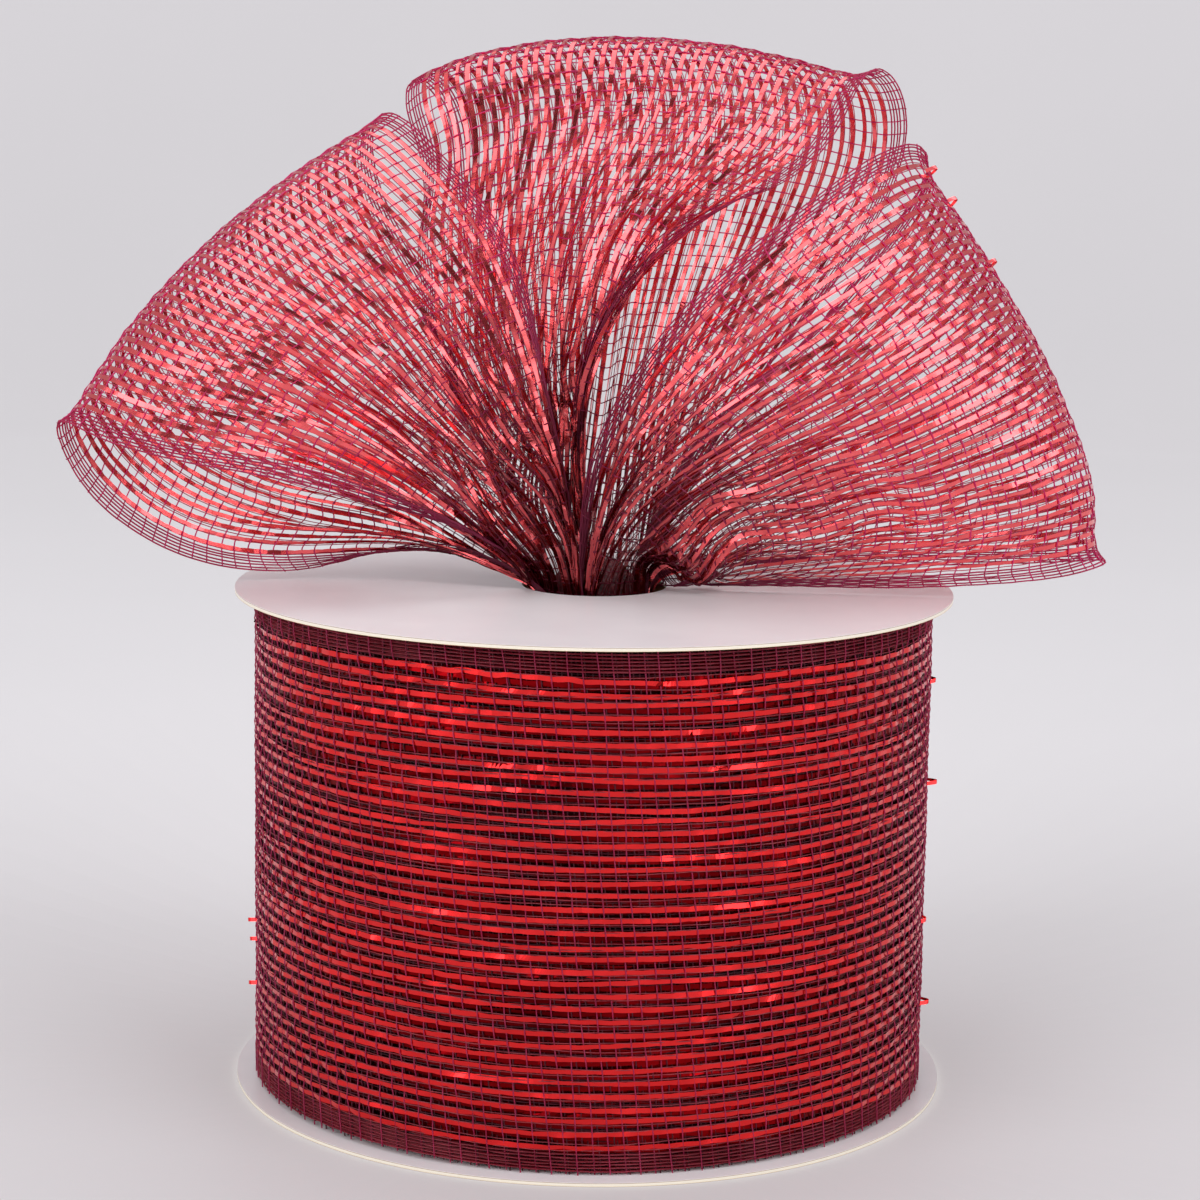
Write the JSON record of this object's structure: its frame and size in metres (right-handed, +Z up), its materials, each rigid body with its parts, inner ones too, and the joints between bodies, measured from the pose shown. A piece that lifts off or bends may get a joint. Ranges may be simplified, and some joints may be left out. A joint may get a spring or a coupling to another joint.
{
  "type": "ribbon spool with gift bow",
  "caption": "Card spool of wide woven metallic mesh ribbon standing on its flange, with a gathered ribbon bow tucked into the core hole",
  "frame": {"origin": "centre of the hole in the bottom flange, on the face it stands on", "axes": "+Z up along the spool's axis, -Y to the front, +X to the right seen from the front"},
  "size_m": [0.2175, 0.148, 0.219],
  "materials": {
    "coated_card": "white coated card with a cut edge",
    "core_paper": "spiral wound kraft paper",
    "glue": "dried white glue",
    "clear_tape": "clear film",
    "tie_paper": "paper covered wire",
    "mesh_ribbon": "woven foil strips and plum filaments"
  },
  "bodies": {
    "spool": {"bottom_flange": "coated_card", "top_flange": "coated_card", "core_tube": "core_paper", "bottom_glue_bead": "glue", "top_glue_bead": "glue", "start_tape": "clear_tape", "ribbon_roll": "mesh_ribbon", "outer_turn": "mesh_ribbon", "ribbon_end": "mesh_ribbon", "end_tape": "clear_tape"},
    "bow": {"bow_neck": "mesh_ribbon", "neck_tie": "tie_paper", "tie_twist": "tie_paper", "front_tail": "mesh_ribbon", "back_tail": "mesh_ribbon", "left_loop": "mesh_ribbon", "rear_loop": "mesh_ribbon", "right_loop": "mesh_ribbon"}
  },
  "joints": [
    {"name": "bow_lift", "type": "slide", "parent": "spool", "child": "bow", "axis": [0, 0, 1], "range_m": [0, 0.065]}
  ]
}
